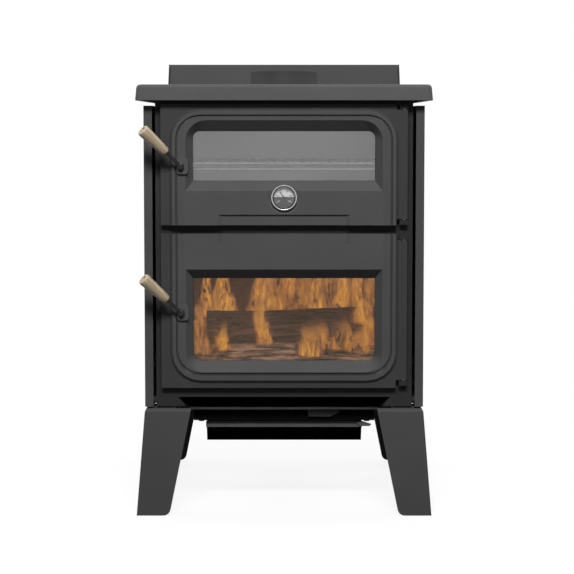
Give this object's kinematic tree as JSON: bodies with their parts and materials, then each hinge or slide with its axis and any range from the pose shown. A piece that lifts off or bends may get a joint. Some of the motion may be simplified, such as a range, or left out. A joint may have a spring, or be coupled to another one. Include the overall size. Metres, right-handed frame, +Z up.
{
  "type": "wood cookstove with oven",
  "caption": "Freestanding wood cookstove: cast cooktop with flue collar, oven above a firebox, both behind hinged window doors with turn latches, ash drawer below, splayed legs.",
  "frame": {"origin": "middle of the stove's floor box, on the floor between the feet", "axes": "+Z up, -Y towards the doors, +X to the right seen from the doors"},
  "size_m": [0.654, 0.673, 1.018],
  "materials": {
    "cast_iron_black": "satin stove black on fine-grained casting",
    "black_steel_sheet": "satin black stove paint",
    "dark_steel": "dull black",
    "oven_steel": "dull, slightly heat-stained",
    "bright_steel": "polished",
    "rod_steel": "blackened steel, half gloss",
    "rope_fibre": "knitted glass fibre rope",
    "fire_brick": "matte, sooty",
    "baffle_board": "matte board",
    "turned_wood": "waxed light hardwood",
    "window_glass": "clear ceramic glass",
    "dial_face": "printed dial",
    "needle_red": "red lacquer"
  },
  "bodies": {
    "body": {"front_frame": "cast_iron_black", "left_side_wall": "black_steel_sheet", "right_side_wall": "black_steel_sheet", "rear_wall": "black_steel_sheet", "bottom_plate": "black_steel_sheet", "cooktop": "cast_iron_black", "cooktop_rope": "rope_fibre", "flue_collar": "cast_iron_black", "rear_heat_shield": "black_steel_sheet", "left_side_panel": "black_steel_sheet", "right_side_panel": "black_steel_sheet", "leg_front_left": "cast_iron_black", "leg_rear_left": "cast_iron_black", "leg_front_right": "cast_iron_black", "leg_rear_right": "cast_iron_black", "leg_bolt_front_left": "dark_steel", "leg_bolt_rear_left": "dark_steel", "leg_bolt_front_right": "dark_steel", "leg_bolt_rear_right": "dark_steel", "oven_hinge_pin_lower": "bright_steel", "oven_hinge_pin_upper": "bright_steel", "firebox_hinge_pin_lower": "bright_steel", "firebox_hinge_pin_upper": "bright_steel", "oven_box": "oven_steel", "firebrick_left": "fire_brick", "firebrick_right": "fire_brick", "firebrick_rear": "fire_brick", "firebrick_floor": "fire_brick", "air_rail_left": "dark_steel", "air_rail_right": "dark_steel", "air_tube_1": "bright_steel", "air_tube_2": "bright_steel", "air_tube_3": "bright_steel", "baffle": "baffle_board", "air_intake_apron": "dark_steel", "bottom_heat_shield": "black_steel_sheet"},
    "oven_door_leaf": {"oven_door": "cast_iron_black", "oven_door_rope": "rope_fibre", "oven_glass": "window_glass", "oven_glass_gasket": "rope_fibre", "oven_glass_retainer": "dark_steel", "thermometer_case": "bright_steel", "thermometer_lens": "window_glass", "thermometer_dial": "dial_face"},
    "oven_latch": {"oven_latch_handle": "rod_steel", "oven_latch_grip": "turned_wood", "oven_latch_cam": "dark_steel"},
    "needle": {"thermometer_needle": "needle_red"},
    "firebox_door_leaf": {"firebox_door": "cast_iron_black", "firebox_door_rope": "rope_fibre", "firebox_glass": "window_glass", "firebox_glass_gasket": "rope_fibre", "firebox_glass_retainer": "dark_steel"},
    "firebox_latch": {"firebox_latch_handle": "rod_steel", "firebox_latch_grip": "turned_wood", "firebox_latch_cam": "dark_steel"},
    "drawer": {"ash_drawer": "dark_steel"},
    "air_shutter": {"air_control": "rod_steel"},
    "rack": {"oven_rack": "bright_steel"},
    "plug": {"ash_plug": "cast_iron_black"}
  },
  "joints": [
    {"name": "oven_door_hinge", "type": "hinge", "parent": "body", "child": "oven_door_leaf", "pos_m": [0.264, -0.26417, 0.778], "axis": [0, 0, 1], "range_deg": [0, 110]},
    {"name": "firebox_door_hinge", "type": "hinge", "parent": "body", "child": "firebox_door_leaf", "pos_m": [0.264, -0.26417, 0.455], "axis": [0, 0, 1], "range_deg": [0, 110]},
    {"name": "oven_latch_turn", "type": "hinge", "parent": "oven_door_leaf", "child": "oven_latch", "pos_m": [-0.226, -0.28, 0.775], "axis": [0, -1, 0], "range_deg": [0, 80]},
    {"name": "firebox_latch_turn", "type": "hinge", "parent": "firebox_door_leaf", "child": "firebox_latch", "pos_m": [-0.226, -0.28, 0.453], "axis": [0, -1, 0], "range_deg": [0, 80]},
    {"name": "needle_turn", "type": "hinge", "parent": "oven_door_leaf", "child": "needle", "pos_m": [0, -0.27, 0.706], "axis": [0, 1, 0], "range_deg": [0, 240]},
    {"name": "ash_drawer_slide", "type": "slide", "parent": "body", "child": "drawer", "axis": [0, -1, 0], "range_m": [0, 0.26]},
    {"name": "air_control_slide", "type": "slide", "parent": "body", "child": "air_shutter", "axis": [-1, 0, 0], "range_m": [0, 0.06]},
    {"name": "oven_rack_slide", "type": "slide", "parent": "body", "child": "rack", "axis": [0, -1, 0], "range_m": [0, 0.012]},
    {"name": "ash_plug_lift", "type": "slide", "parent": "body", "child": "plug", "axis": [0, 0, 1], "range_m": [0, 0.06]}
  ]
}
